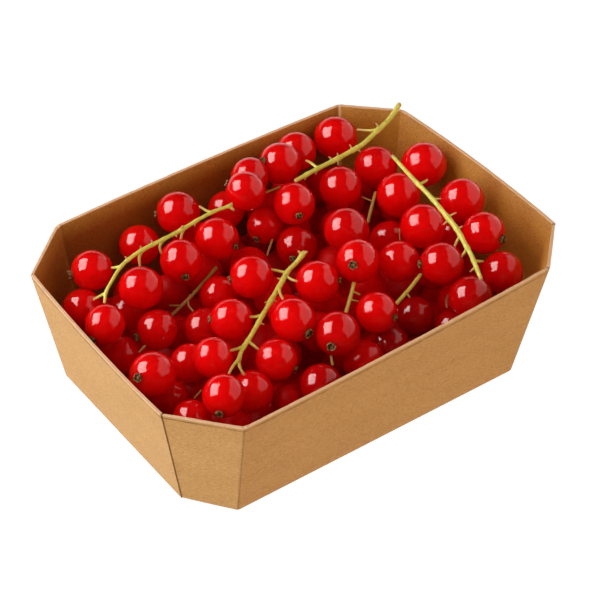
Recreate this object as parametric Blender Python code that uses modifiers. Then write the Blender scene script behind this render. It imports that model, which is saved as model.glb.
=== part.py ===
"""A folded card punnet heaped with redcurrants, and four of their stalks on top.

Metres, +Z up. The origin is the middle of the flat base. X runs along the long side, and
-Y is the front. The punnet is one sheet of card folded into a tray with cut corners. The
currants are one heap out to its lumpy outline, and each stalk is a rod of its own.
"""

import math
import random

import bmesh
import bpy
from mathutils import Matrix, Vector
from mathutils.geometry import interpolate_bezier

# Tray, measured outside. The walls lean out from the base to the rim.
RIM_LENGTH = 0.1100
RIM_WIDTH = 0.0820
BASE_LENGTH = 0.0988
BASE_WIDTH = 0.0696
TRAY_HEIGHT = 0.0322
CARD = 0.0012
FOLD_RADIUS = 0.0008
INNER_FOLD_RADIUS = 0.0003
FOLD_SEGMENTS = 2
CUT_OVER_RIM = 0.0024

# What each cut corner takes off the long side and off the short side, at the rim and at the base.
# It is folded by hand, so no two corners are alike. The order is anticlockwise from the front left.
CORNERS = (
    {"side": (-1, -1), "rim": (0.0119, 0.0132), "base": (0.0087, 0.0110)},
    {"side": (1, -1), "rim": (0.0120, 0.0121), "base": (0.0116, 0.0100)},
    {"side": (1, 1), "rim": (0.0128, 0.0115), "base": (0.0100, 0.0098)},
    {"side": (-1, 1), "rim": (0.0144, 0.0127), "base": (0.0100, 0.0094)},
)

# Heap. FILL is the height of the middles of its top berries where the heap is level.
GAP = 0.0003
BERRY_RADIUS = 0.0047
RADIUS_SPREAD = 0.0003
ROWS = 9
COLUMNS = 10
ROW_PITCH = 0.0084
BERRY_PITCH = 0.0100
ROW_SHIFT = 0.25
CLOSEST = 0.0086
HEIGHT_SPREAD = 0.0008
PLACE_SPREAD = 0.0006
FILL = 0.0280
CORE_DROP = 0.0017
CORE_SHOULDER = 0.0180
CORE_RINGS = 6
POINTS_PER_WALL = 3
BALL_SUBDIVISIONS = 2
SETTLING_PASSES = 3
STALK_PASSES = 2
SEED = 11

# Swells and hollows of the heap: middle x and y, half-width, and height added there.
SWELLS = (
    (0.0150, 0.0300, 0.0085, 0.0072),
    (0.0070, 0.0080, 0.0080, -0.0050),
    (-0.0240, 0.0320, 0.0080, -0.0050),
    (0.0180, -0.0260, 0.0090, -0.0040),
    (0.0400, -0.0280, 0.0080, -0.0040),
    (-0.0440, -0.0020, 0.0060, -0.0030),
)

# Stalks: radius at the thick end and at the tip, and the points that each one passes.
STALK_RADIUS = 0.00068
TIP_RADIUS = 0.00048
STALK_GAP = 0.0004
STEPS_PER_SPAN = 3
HANDLE_SHARE = 1 / 6
BEVEL_RESOLUTION = 2
STALKS = {
    "stalk_left": (
        (-0.0020, 0.0238, 0.0310),
        (-0.0108, 0.0255, 0.0295),
        (-0.0207, 0.0253, 0.0285),
        (-0.0294, 0.0249, 0.0280),
        (-0.0384, 0.0192, 0.0295),
        (-0.0458, 0.0104, 0.0328),
    ),
    "stalk_back": (
        (0.0524, 0.0279, 0.0350),
        (0.0433, 0.0255, 0.0320),
        (0.0340, 0.0248, 0.0300),
        (0.0240, 0.0242, 0.0298),
        (0.0163, 0.0225, 0.0310),
    ),
    "stalk_right": (
        (0.0397, 0.0141, 0.0330),
        (0.0379, 0.0024, 0.0330),
        (0.0370, -0.0095, 0.0315),
        (0.0363, -0.0178, 0.0285),
        (0.0328, -0.0264, 0.0285),
        (0.0301, -0.0310, 0.0300),
    ),
    "stalk_front": (
        (0.0045, 0.0031, 0.0270),
        (-0.0038, -0.0020, 0.0290),
        (-0.0134, -0.0086, 0.0295),
        (-0.0239, -0.0155, 0.0295),
        (-0.0307, -0.0207, 0.0300),
    ),
}

COLOURS = {
    "card": ((0.52, 0.29, 0.12), 0.85),
    "currants": ((0.45, 0.004, 0.006), 0.15),
    "stalk": ((0.42, 0.46, 0.09), 0.55),
}


def clear_scene():
    for thing in list(bpy.data.objects):
        bpy.data.objects.remove(thing, do_unlink=True)


def new_collection(name):
    collection = bpy.data.collections.new(name)
    bpy.context.scene.collection.children.link(collection)
    return collection


def new_material(name):
    colour, roughness = COLOURS[name]
    material = bpy.data.materials.new(name)
    material.use_nodes = True
    shader = material.node_tree.nodes["Principled BSDF"]
    shader.inputs["Base Color"].default_value = (*colour, 1.0)
    shader.inputs["Roughness"].default_value = roughness
    shader.inputs["Metallic"].default_value = 0.0
    return material


def new_object(name, data, collection, material=None):
    thing = bpy.data.objects.new(name, data)
    collection.objects.link(thing)
    if material is not None:
        data.materials.append(material)
    return thing


def hide_helper(thing):
    thing.hide_render = True
    thing.display_type = "WIRE"


# ---- outlines of the tray, seen from above, anticlockwise from the front left corner ----


def cut_corners(length, width, level):
    """The eight corners of a rectangle whose own corners are cut off by the legs of that level."""
    points = []
    for number, corner in enumerate(CORNERS):
        side_x, side_y = corner["side"]
        leg_x, leg_y = corner[level]
        on_long_side = Vector((side_x * (length / 2 - leg_x), side_y * width / 2))
        on_short_side = Vector((side_x * length / 2, side_y * (width / 2 - leg_y)))
        pair = [on_long_side, on_short_side]
        if number % 2 == 0:
            pair.reverse()
        points += pair
    return points


def outside_at(height):
    """The tray's outer outline at a height, read between the base's and the rim's."""
    base = cut_corners(BASE_LENGTH, BASE_WIDTH, "base")
    rim = cut_corners(RIM_LENGTH, RIM_WIDTH, "rim")
    share = height / TRAY_HEIGHT
    return [low + (high - low) * share for low, high in zip(base, rim)]


def wall_lines(outline, inset):
    """Each wall of an outline, moved inwards, as an inward normal and its distance from the origin."""
    lines = []
    for start, end in zip(outline, outline[1:] + outline[:1]):
        along = (end - start).normalized()
        inward = Vector((-along.y, along.x))
        lines.append((inward, inward.dot(start) + inset))
    return lines


def moved_in(outline, inset):
    """The outline with every wall moved inwards: each corner is where two moved walls meet."""
    lines = wall_lines(outline, inset)
    corners = []
    for (normal_a, reach_a), (normal_b, reach_b) in zip(lines[-1:] + lines[:-1], lines):
        cross = normal_a.x * normal_b.y - normal_a.y * normal_b.x
        x = (reach_a * normal_b.y - reach_b * normal_a.y) / cross
        y = (reach_b * normal_a.x - reach_a * normal_b.x) / cross
        corners.append(Vector((x, y)))
    return corners


def divided(outline, parts):
    """The same outline with each wall cut into equal parts."""
    points = []
    for start, end in zip(outline, outline[1:] + outline[:1]):
        points += [start.lerp(end, step / parts) for step in range(parts)]
    return points


# ---- bodies ----


def loft(name, sections, fold_weight=0.0):
    """A closed mesh through sections of equally many points, bottom first, with both ends filled.

    A fold weight marks the upright edges and the bottom's edges for a Bevel.
    """
    shape = bmesh.new()
    rings = [[shape.verts.new(point) for point in section] for section in sections]
    for lower, upper in zip(rings, rings[1:]):
        for here in range(len(lower)):
            after = (here + 1) % len(lower)
            shape.faces.new((lower[here], lower[after], upper[after], upper[here]))
    shape.faces.new(list(reversed(rings[0])))
    shape.faces.new(rings[-1])
    weights = shape.edges.layers.float.new("bevel_weight_edge")
    top = set(rings[-1])
    for edge in shape.edges:
        if not top.issuperset(edge.verts):
            edge[weights] = fold_weight
    mesh = bpy.data.meshes.new(name)
    shape.to_mesh(mesh)
    shape.free()
    return mesh


def at_height(outline, height):
    return [(point.x, point.y, height) for point in outline]


def add_fold(thing, radius):
    fold = thing.modifiers.new("fold", "BEVEL")
    fold.limit_method = "WEIGHT"
    fold.width = radius
    fold.segments = FOLD_SEGMENTS


def add_tray(collection, helpers, material):
    """The outer body with its folds rounded, and the hollow cut out of it down to the floor."""
    outer = loft("punnet", [at_height(outside_at(0.0), 0.0),
                            at_height(outside_at(TRAY_HEIGHT), TRAY_HEIGHT)], fold_weight=1.0)
    tray = new_object("punnet", outer, collection, material)
    add_fold(tray, FOLD_RADIUS)

    over_rim = TRAY_HEIGHT + CUT_OVER_RIM
    hollow_mesh = loft("hollow", [at_height(moved_in(outside_at(CARD), CARD), CARD),
                                  at_height(moved_in(outside_at(over_rim), CARD), over_rim)],
                       fold_weight=1.0)
    hollow = new_object("hollow", hollow_mesh, helpers)
    add_fold(hollow, INNER_FOLD_RADIUS)
    hide_helper(hollow)

    cut = tray.modifiers.new("hollow", "BOOLEAN")
    cut.operation = "DIFFERENCE"
    cut.solver = "EXACT"
    cut.object = hollow


def mound(x, y):
    """Height of the top berries' middles: the fill, plus a smooth bump for every swell or hollow."""
    height = FILL
    for middle_x, middle_y, spread, rise in SWELLS:
        away = ((x - middle_x) ** 2 + (y - middle_y) ** 2) / spread**2
        height += rise * math.exp(-away)
    return height


def smooth_route(points):
    """Points along a smooth curve through the given ones, with handles that follow their neighbours."""
    route = [Vector(point) for point in points]
    padded = [2 * route[0] - route[1], *route, 2 * route[-1] - route[-2]]
    walked = []
    for before, start, end, after in zip(padded, padded[1:], padded[2:], padded[3:]):
        walked += interpolate_bezier(start, start + (end - before) * HANDLE_SHARE,
                                     end - (after - start) * HANDLE_SHARE, end,
                                     STEPS_PER_SPAN + 1)[:-1]
    return [*walked, route[-1]]


def kept_inside(x, y, height, reach):
    """The place nearest to x, y where a ball of that reach clears every wall at that height."""
    place = Vector((x, y))
    lines = wall_lines(outside_at(height), CARD + GAP + reach)
    for _ in range(SETTLING_PASSES):
        for inward, distance in lines:
            short = distance - inward.dot(place)
            if short > 0:
                place += inward * short
    return place


def clear_of_stalks(place, height, radius, stalk_points):
    """The berry's own height where it clears every stalk, and else the height at which it lies under them."""
    reach = radius + STALK_RADIUS + STALK_GAP
    for point in stalk_points * STALK_PASSES:
        beside = (Vector((point.x, point.y)) - place).length
        if beside < reach:
            clearance = math.sqrt(reach**2 - beside**2)
            if height < point.z + clearance:
                height = min(height, point.z - clearance)
    return height


def berry_places(stalk_points):
    """(middle, radius) of each berry of the top layer: a loose hexagonal lattice laid over the mound."""
    draw = random.Random(SEED)
    berries = []
    for row in range(ROWS):
        for column in range(COLUMNS):
            shift = ROW_SHIFT if row % 2 else -ROW_SHIFT
            x = (column - (COLUMNS - 1) / 2 + shift) * BERRY_PITCH + draw.uniform(-1, 1) * PLACE_SPREAD
            y = (row - (ROWS - 1) / 2) * ROW_PITCH + draw.uniform(-1, 1) * PLACE_SPREAD
            radius = BERRY_RADIUS + draw.uniform(-1, 1) * RADIUS_SPREAD
            height = mound(x, y) + draw.uniform(-1, 1) * HEIGHT_SPREAD
            place = kept_inside(x, y, height - radius / 2, radius)
            height = clear_of_stalks(place, height, radius, stalk_points)
            if any((place - Vector(other[:2])).length < CLOSEST for other, _ in berries):
                continue
            berries.append(((place.x, place.y, height), radius))
    return berries


def add_heap(collection, helpers, material):
    """A core that fills the tray up to the berries, joined with a ball for each berry of the top layer."""
    foot = CARD + GAP
    sections = [at_height(divided(moved_in(outside_at(foot), CARD + GAP), POINTS_PER_WALL), foot),
                at_height(divided(moved_in(outside_at(CORE_SHOULDER), CARD + GAP), POINTS_PER_WALL),
                          CORE_SHOULDER)]
    shoulder = [Vector(point[:2]) for point in sections[-1]]
    for ring in range(CORE_RINGS):
        share = 1 - ring / CORE_RINGS
        sections.append([(point.x * share, point.y * share,
                          mound(point.x * share, point.y * share) - CORE_DROP) for point in shoulder])
    heap = new_object("currant_heap", loft("currant_heap", sections), collection, material)

    stalk_points = [point for points in STALKS.values() for point in smooth_route(points)]
    balls = bmesh.new()
    for middle, radius in berry_places(stalk_points):
        bmesh.ops.create_icosphere(balls, subdivisions=BALL_SUBDIVISIONS, radius=radius,
                                   matrix=Matrix.Translation(middle))
    ball_mesh = bpy.data.meshes.new("berry_balls")
    balls.to_mesh(ball_mesh)
    balls.free()
    helper = new_object("berry_balls", ball_mesh, helpers)
    hide_helper(helper)

    join = heap.modifiers.new("berries", "BOOLEAN")
    join.operation = "UNION"
    join.solver = "EXACT"
    join.use_self = True
    join.object = helper


def add_stalk(name, points, collection, material):
    """A rod along a smooth route, thick at its start and thinner towards its tip."""
    route = smooth_route(points)
    curve = bpy.data.curves.new(name, "CURVE")
    curve.dimensions = "3D"
    curve.bevel_depth = STALK_RADIUS
    curve.bevel_resolution = BEVEL_RESOLUTION
    curve.use_fill_caps = True
    spline = curve.splines.new("POLY")
    spline.points.add(len(route) - 1)
    for number, (knot, place) in enumerate(zip(spline.points, route)):
        share = number / (len(route) - 1)
        knot.co = (*place, 1.0)
        knot.radius = 1 + share * (TIP_RADIUS / STALK_RADIUS - 1)
    new_object(name, curve, collection, material)


def main():
    clear_scene()
    parts = new_collection("redcurrant_punnet")
    helpers = new_collection("helpers")
    card, currants, stalk = (new_material(name) for name in COLOURS)
    add_tray(parts, helpers, card)
    add_heap(parts, helpers, currants)
    for name, points in STALKS.items():
        add_stalk(name, points, parts, stalk)


main()
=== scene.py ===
# %% [markdown]
# # A card punnet heaped with redcurrants
#
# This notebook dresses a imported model: a folded card tray, a heap of berries and four stalks.
# The model gives the sizes and the places. Each cell below makes one piece or one finish.
# Everything is in metres, +Z is up, and the origin is the middle of the tray's flat base.

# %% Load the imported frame
import math

import bpy
import numpy as np
from mathutils import Matrix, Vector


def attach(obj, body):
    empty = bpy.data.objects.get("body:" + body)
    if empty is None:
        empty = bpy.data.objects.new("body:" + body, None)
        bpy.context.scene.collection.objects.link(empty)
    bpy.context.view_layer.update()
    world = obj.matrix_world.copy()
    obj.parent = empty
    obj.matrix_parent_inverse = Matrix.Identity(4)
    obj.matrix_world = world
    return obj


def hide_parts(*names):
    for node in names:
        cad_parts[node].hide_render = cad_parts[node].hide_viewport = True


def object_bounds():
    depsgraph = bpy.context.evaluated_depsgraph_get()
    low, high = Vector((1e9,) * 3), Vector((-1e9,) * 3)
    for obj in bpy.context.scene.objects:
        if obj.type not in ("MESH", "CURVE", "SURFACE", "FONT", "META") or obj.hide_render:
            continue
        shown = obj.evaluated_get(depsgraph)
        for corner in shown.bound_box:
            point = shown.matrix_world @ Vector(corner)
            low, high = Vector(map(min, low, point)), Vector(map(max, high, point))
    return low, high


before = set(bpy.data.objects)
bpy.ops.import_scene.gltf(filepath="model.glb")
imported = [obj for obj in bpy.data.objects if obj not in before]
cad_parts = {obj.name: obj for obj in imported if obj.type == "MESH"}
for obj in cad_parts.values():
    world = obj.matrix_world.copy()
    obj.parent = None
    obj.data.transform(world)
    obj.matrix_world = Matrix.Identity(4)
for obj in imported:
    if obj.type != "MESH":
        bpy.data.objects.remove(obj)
cad_box = [list(corner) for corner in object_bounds()]
MM = 0.001
print("nodes:", sorted(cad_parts), "box in mm:", np.round(np.array(cad_box) / MM, 1).tolist())

# %% [markdown]
# ## The camera
#
# A long lens stands well back, so the tray's upright folds stay nearly parallel. The same three
# directions (right, up and back) serve later, to place each berry where its column and row say.

# %% Place the camera
FRAME_WIDTH = 600
FOCAL_LENGTH = 116.07
SENSOR_WIDTH = 36.0
AZIMUTH = math.radians(-36.1)
ELEVATION = math.radians(41.7)
AIM = np.array((1.1, 0.0, 15.9)) * MM
DISTANCE = 457.0 * MM

RIGHT = np.array((math.cos(AZIMUTH), math.sin(AZIMUTH), 0.0))
BACK = np.array((math.sin(AZIMUTH) * math.cos(ELEVATION),
                 -math.cos(AZIMUTH) * math.cos(ELEVATION), math.sin(ELEVATION)))
UP = np.cross(BACK, RIGHT)
EYE = AIM + DISTANCE * BACK
FOCAL_PIXELS = FOCAL_LENGTH / SENSOR_WIDTH * FRAME_WIDTH


def in_world(rightward, upward, backward):
    """The unit direction with these shares of the camera's right, up and back."""
    direction = rightward * RIGHT + upward * UP + backward * BACK
    return direction / np.linalg.norm(direction)


camera_data = bpy.data.cameras.new("camera")
camera_data.lens = FOCAL_LENGTH
camera_data.sensor_width = SENSOR_WIDTH
camera_data.clip_start = 0.01
camera_data.clip_end = 20.0
camera = bpy.data.objects.new("camera", camera_data)
camera.matrix_world = Matrix.Translation(EYE) @ Matrix(np.column_stack((RIGHT, UP, BACK))).to_4x4()
bpy.context.scene.collection.objects.link(camera)
bpy.context.scene.camera = camera
print("camera at", np.round(EYE, 4).tolist())

# %% [markdown]
# ## Meshes and materials
#
# A heap of berries has tens of thousands of points. Blender takes them as lists too, by
# from_pydata, but whole arrays handed over by foreach_set are far quicker, so every mesh here is
# made that way. Every material starts as one Principled shader, and values that are the same all
# over are set on that shader's own sockets.

# %% Mesh and material helpers
WHITE = (1.0, 1.0, 1.0, 1.0)


def new_mesh(name, points, face_sets):
    """A mesh from an array of points and a list of arrays of faces, one for each size of face."""
    sizes = np.concatenate([np.full(len(faces), faces.shape[1]) for faces in face_sets])
    corners = np.concatenate([faces.ravel() for faces in face_sets])
    mesh = bpy.data.meshes.new(name)
    mesh.vertices.add(len(points))
    mesh.vertices.foreach_set("co", np.asarray(points, np.float32).ravel())
    mesh.loops.add(len(corners))
    mesh.loops.foreach_set("vertex_index", corners.astype(np.int32))
    mesh.polygons.add(len(sizes))
    mesh.polygons.foreach_set("loop_start", (np.cumsum(sizes) - sizes).astype(np.int32))
    mesh.update(calc_edges=True)
    mesh.shade_smooth()
    return mesh


def new_finish(name, roughness, **constants):
    """A material with its Principled shader. The constants are set on the shader's own sockets."""
    material = bpy.data.materials.new(name)
    material.use_nodes = True
    shader = material.node_tree.nodes["Principled BSDF"]
    shader.inputs["Roughness"].default_value = roughness
    for socket, value in constants.items():
        shader.inputs[socket.replace("_", " ")].default_value = value
    return material, material.node_tree, shader


def add_node(tree, kind, values=None, **settings):
    """A node of one kind, with its settings and the values of its unlinked inputs."""
    node = tree.nodes.new(kind)
    for name, value in settings.items():
        setattr(node, name, value)
    for socket, value in (values or {}).items():
        node.inputs[socket].default_value = value
    return node

# %% [markdown]
# ## Light and floor
#
# Berries are small mirrors, so the lights are laid out from what a mirror ball shows. A tall soft
# window at the upper left gives the bright patch, a wide dim panel gives the broad pale band at
# the right, and a pale wall behind gives the thin arc along the top. What a berry mirrors and
# what lights the card are kept apart: some panels show in gloss only and others light matt
# surfaces only. The floor is white and glows, so that it stays white around the tray.

# %% Light helpers
def seen_on_ball(rightward, upward):
    """The direction that a mirror ball shows at a place of its disc.

    It is the normal there times twice the normal's share of the view, less the view.
    """
    facing = math.sqrt(1 - rightward**2 - upward**2)
    normal = rightward * RIGHT + upward * UP + facing * BACK
    return 2 * facing * normal - BACK


def add_panel(name, towards, top, distance, size, radiance, colour=(1.0, 1.0, 1.0), reach="all"):
    """An oblong light aimed at the punnet, with its upper edge towards the top direction.

    Its power is radiance times pi times its area. Its reach is all, matt or gloss.
    """
    data = bpy.data.lights.new(name, "AREA")
    data.shape = "RECTANGLE"
    data.size, data.size_y = size
    data.energy = radiance * math.pi * size[0] * size[1]
    data.color = colour
    panel = bpy.data.objects.new(name, data)
    towards = np.array(towards) / np.linalg.norm(towards)
    upright = np.array(top) - np.dot(top, towards) * towards
    upright /= np.linalg.norm(upright)
    turn = Matrix(np.column_stack((np.cross(upright, towards), upright, towards))).to_4x4()
    panel.matrix_world = Matrix.Translation(AIM + distance * towards) @ turn
    panel.visible_diffuse = reach != "gloss"
    panel.visible_glossy = reach != "matt"
    panel.visible_camera = False
    bpy.context.scene.collection.objects.link(panel)

# %% Place the lights
STRAIGHT_UP = np.array((0.0, 0.0, 1.0))
KEY = seen_on_ball(-0.42, 0.29)
KEY_TOP = seen_on_ball(-0.34, 0.58)
AWAY = -np.array((BACK[0], BACK[1], 0.0)) / math.cos(ELEVATION)
add_panel("key_window", KEY, KEY_TOP, 0.50, (0.45, 0.60), 2.2, reach="matt")
add_panel("key_glint", KEY, KEY_TOP, 0.45, (0.33, 0.45), 11.5, (1.0, 0.95, 0.93), reach="gloss")
add_panel("fill_panel", in_world(0.92, 0.0, 0.30), UP, 0.60, (0.80, 0.62), 0.9, (1.0, 0.93, 0.84),
          reach="matt")
add_panel("front_glow", in_world(0.25, 0.10, 1.0), UP, 0.90, (1.0, 1.0), 0.75, reach="matt")
add_panel("low_panel", (-1.0, 0.12, 0.12), STRAIGHT_UP, 0.60, (0.50, 0.40), 4.4, (0.84, 1.42, 3.1),
          reach="matt")
add_panel("side_glow", seen_on_ball(0.62, 0.27), seen_on_ball(0.56, 0.66), 0.50, (0.86, 1.05), 1.1,
          (1.0, 0.93, 0.88), reach="gloss")
add_panel("back_glow", AWAY + 0.12 * STRAIGHT_UP, STRAIGHT_UP, 1.20, (3.4, 0.46), 0.8, reach="gloss")
add_panel("top_glow", STRAIGHT_UP, AWAY, 0.70, (1.2, 1.2), 0.30, reach="matt")

# %% Make the sky and the floor
# The sky is white where it is seen and almost dark as a light.
SKY_LIGHT = 0.03
world = bpy.data.worlds.new("white_studio")
world.use_nodes = True
bpy.context.scene.world = world
sky = world.node_tree
sky.nodes.clear()
sky_out = add_node(sky, "ShaderNodeOutputWorld")
sky_choice = add_node(sky, "ShaderNodeMixShader")
sky_path = add_node(sky, "ShaderNodeLightPath")
sky.links.new(sky_path.outputs["Is Camera Ray"], sky_choice.inputs["Fac"])
for place, strength in ((1, SKY_LIGHT), (2, 1.0)):
    glow = add_node(sky, "ShaderNodeBackground", {"Strength": strength, "Color": WHITE})
    sky.links.new(glow.outputs[0], sky_choice.inputs[place])
sky.links.new(sky_choice.outputs[0], sky_out.inputs["Surface"])
bpy.context.scene.view_settings.view_transform = "Standard"

FLOOR_HALF = 3.0
FLOOR_GREY = (0.06, 0.06, 0.06, 1.0)
floor_points = np.array([(-1, -1, 0), (1, -1, 0), (1, 1, 0), (-1, 1, 0)]) * FLOOR_HALF
floor_mesh = new_mesh("floor", floor_points, [np.array([[0, 1, 2, 3]])])
floor = bpy.data.objects.new("floor", floor_mesh)
bpy.context.scene.collection.objects.link(floor)
pale = new_finish("pale_floor", 1.0, Base_Color=FLOOR_GREY, Specular_IOR_Level=0.0, Emission_Color=WHITE,
                  Emission_Strength=1.0)[0]
floor_mesh.materials.append(pale)
print("sky and floor are in")

# %% [markdown]
# ## Helpers for curved pieces
#
# Every piece here is a grid of points: rows run up the shape and columns run round it. A closed
# form adds a point at each pole. Many copies are one array with one more axis, so that a whole
# heap is a single piece of arithmetic.

# %% Grids, routes and noise
def ring_faces(rows, columns):
    """Quads of a grid whose last column joins its first."""
    row = np.arange(rows - 1)[:, None] * columns
    here = np.arange(columns)[None, :]
    after = (here + 1) % columns
    return np.stack((row + here, row + after, row + columns + after, row + columns + here),
                    axis=-1).reshape(-1, 4)


def closed_faces(rows, columns):
    """Faces of a form with a pole at each end: point 0, then the grid row by row, then the last."""
    here = np.arange(columns)
    after = (here + 1) % columns
    last = rows * columns + 1
    top = 1 + (rows - 1) * columns
    foot = np.stack((np.zeros_like(here), 1 + after, 1 + here), axis=-1)
    head = np.stack((np.full_like(here, last), top + here, top + after), axis=-1)
    return [ring_faces(rows, columns) + 1, np.concatenate((foot, head))]


def copied_faces(face_sets, points_each, copies):
    """The same faces for each copy, with point numbers moved on by the points of the copies before."""
    shift = (np.arange(copies) * points_each)[:, None, None]
    return [(faces[None] + shift).reshape(-1, faces.shape[1]) for faces in face_sets]


def set_attribute(mesh, name, values):
    """One number for each point, which a material reads by its name."""
    layer = mesh.attributes.new(name, "FLOAT", "POINT")
    layer.data.foreach_set("value", np.asarray(values, np.float32).ravel())


def unit(vectors):
    return vectors / np.linalg.norm(vectors, axis=-1, keepdims=True)


def add_piece(name, mesh, material, nodes=()):
    """Links a finished mesh, rides it on the one body and hides the imported nodes that it stands for."""
    piece = bpy.data.objects.new(name, mesh)
    bpy.context.scene.collection.objects.link(piece)
    mesh.materials.append(material)
    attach(piece, "root")
    for node in nodes:
        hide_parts(node)
    print(name, "has", len(mesh.vertices), "points and", len(mesh.polygons), "faces")
    return piece


def hump(distance, width):
    """One at distance nought, falling as a bell of that half-width."""
    return np.exp(-((distance / width) ** 2))


WOBBLE_KNOTS = 4096


def wobble(along, spacing, seed):
    """A smooth random line: random heights from -1 to 1 every spacing, joined by cosine steps."""
    heights = np.random.default_rng(seed).uniform(-1, 1, WOBBLE_KNOTS)
    place = np.asarray(along) / spacing
    knot = np.floor(place).astype(int)
    ease = (1 - np.cos((place - knot) * math.pi)) / 2
    return heights[knot % WOBBLE_KNOTS] * (1 - ease) + heights[(knot + 1) % WOBBLE_KNOTS] * ease

# %% [markdown]
# ## Finishes
#
# All finishes share one effect: soft blotches of noise with a chosen size and strength. It is
# built once as a node group. Card makes its fibres and grit of it, berries their clouds, dried
# flowers their flecks and stalks their streaks.

# %% Node helpers
def mix_colour(tree, share, first, second, blend="MIX"):
    """A colour mix. Each of the three inputs is a socket to link or a plain value."""
    node = add_node(tree, "ShaderNodeMix", data_type="RGBA", blend_type=blend)
    for socket, value in ((node.inputs[0], share), (node.inputs[6], first), (node.inputs[7], second)):
        if isinstance(value, bpy.types.NodeSocket):
            tree.links.new(value, socket)
        else:
            socket.default_value = value
    return node.outputs[2]


def attribute(tree, name):
    return add_node(tree, "ShaderNodeAttribute", attribute_name=name).outputs["Fac"]


def tinted(tree, colour, tint):
    """The colour times a tint of red, green and blue."""
    return mix_colour(tree, 1.0, colour, (*tint, 1.0), "MULTIPLY")


def painted(tree, colour, name, paint):
    """The colour, which turns to the paint where the attribute of that name is one."""
    return mix_colour(tree, attribute(tree, name), colour, paint)


def linear(red, green, blue):
    """A display colour from 0 to 255 as the linear colour that a shader takes."""
    share = np.array((red, green, blue)) / 255
    value = np.where(share <= 0.04045, share / 12.92, ((share + 0.055) / 1.055) ** 2.4)
    return (*value.tolist(), 1.0)

# %% Build the shared mottle
mottle_group = bpy.data.node_groups.new("mottle", "ShaderNodeTree")
mottle_sockets = mottle_group.interface
mottle_sockets.new_socket("Vector", in_out="INPUT", socket_type="NodeSocketVector")
for socket_name in ("Scale", "Detail", "Low", "High"):
    mottle_sockets.new_socket(socket_name, in_out="INPUT", socket_type="NodeSocketFloat")
mottle_sockets.new_socket("Mask", in_out="OUTPUT", socket_type="NodeSocketFloat")
mottle_in = add_node(mottle_group, "NodeGroupInput")
mottle_out = add_node(mottle_group, "NodeGroupOutput")
mottle_noise = add_node(mottle_group, "ShaderNodeTexNoise")
mottle_range = add_node(mottle_group, "ShaderNodeMapRange")
for source, output, target, socket in (
        (mottle_in, "Vector", mottle_noise, "Vector"), (mottle_in, "Scale", mottle_noise, "Scale"),
        (mottle_in, "Detail", mottle_noise, "Detail"), (mottle_noise, "Fac", mottle_range, "Value"),
        (mottle_in, "Low", mottle_range, "From Min"), (mottle_in, "High", mottle_range, "From Max"),
        (mottle_range, "Result", mottle_out, "Mask")):
    mottle_group.links.new(source.outputs[output], target.inputs[socket])


def mottle(tree, vector, scale, detail, low, high):
    """The shared mottle: blotches to the metre, detail, and the noise that gives nought and one."""
    node = add_node(tree, "ShaderNodeGroup", node_tree=mottle_group)
    tree.links.new(vector, node.inputs["Vector"])
    for socket, value in (("Scale", scale), ("Detail", detail), ("Low", low), ("High", high)):
        node.inputs[socket].default_value = value
    return node.outputs["Mask"]


def object_place(tree, stretch=(1.0, 1.0, 1.0)):
    """Object coordinates through a Mapping node that stretches the pattern."""
    place = add_node(tree, "ShaderNodeTexCoord").outputs["Object"]
    mapping = add_node(tree, "ShaderNodeMapping", {"Scale": stretch})
    tree.links.new(place, mapping.inputs["Vector"])
    return mapping.outputs["Vector"]


def add_bump(tree, shader, height, distance):
    bump = add_node(tree, "ShaderNodeBump", {"Strength": 1.0, "Distance": distance})
    tree.links.new(height, bump.inputs["Height"])
    tree.links.new(bump.outputs["Normal"], shader.inputs["Normal"])

# %% [markdown]
# ### Kraft card
#
# Brown card is a felt of short fibres. Three mottles make it: broad clouds, short fibres that lie
# mostly level, and fine grit. The cut edge of the rim is paler, because it shows the raw core.
# The folds and the seams are darker: partly pressed joints, partly painted shade in the grooves.
# Inside, painted shade and painted red bounce light make the liner darker and redder, and a
# painted highlight runs along some inner folds.

# %% Make the card finish
card, tree, shader = new_finish("kraft_card", 0.62, Specular_IOR_Level=0.20)
level_place = object_place(tree, (0.65, 0.65, 2.4))
clouds = mottle(tree, level_place, 90.0, 2.0, 0.30, 0.70)
fibres = mottle(tree, level_place, 1900.0, 4.0, 0.36, 0.64)
grit = mottle(tree, object_place(tree), 2600.0, 2.0, 0.60, 0.72)
colour = mix_colour(tree, clouds, linear(200, 139, 66), linear(206, 145, 72))
colour = mix_colour(tree, fibres, tinted(tree, colour, (0.76, 0.71, 0.64)), colour)
colour = mix_colour(tree, grit, colour, tinted(tree, colour, (0.66, 0.60, 0.53)))
# Painted shade and painted red bounce light: the liner inside is redder and darker, more so below the rim.
colour = painted(tree, colour, "inside", tinted(tree, colour, (1.03, 0.82, 0.23)))
# Painted shade on the inner walls that get less light.
colour = painted(tree, colour, "shade", tinted(tree, colour, (0.51, 0.295, 0.08)))
# Painted highlight along the inside of some folds.
colour = painted(tree, colour, "fold_highlight", linear(248, 196, 124))
colour = painted(tree, colour, "raw_edge", linear(226, 170, 116))
# Dark joints plus painted shade: seams, folds, the split under the liner, the inner fold line and nicks.
colour = painted(tree, colour, "pressed_and_shade", linear(104, 62, 24))
tree.links.new(colour, shader.inputs["Base Color"])
add_bump(tree, shader, fibres, 0.05 * MM)
print("card finish is ready")

# %% [markdown]
# ## The tray
#
# The tray is one sheet of card folded up at eight edges. Its outline is a rectangle with cut
# corners, no two of them alike, and it widens from the base to the rim. The heap pushes the four
# long walls out a little. At each corner panel one upright edge is a fold, pressed into the
# sheet, and the other is a seam, where the short wall's own cut edge lies over the panel. One
# closed grid carries the profile (under the base, up the outside, over the cut rim, down the
# inside and across the floor) round that outline. Solidify on a single sheet would be shorter,
# but it could not make the seam outside and the raised fold inside.

# %% Sizes of the tray
TRAY_HEIGHT = 31.9 * MM
CARD = 0.8 * MM
BASE_FOLD = 0.6 * MM
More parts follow.
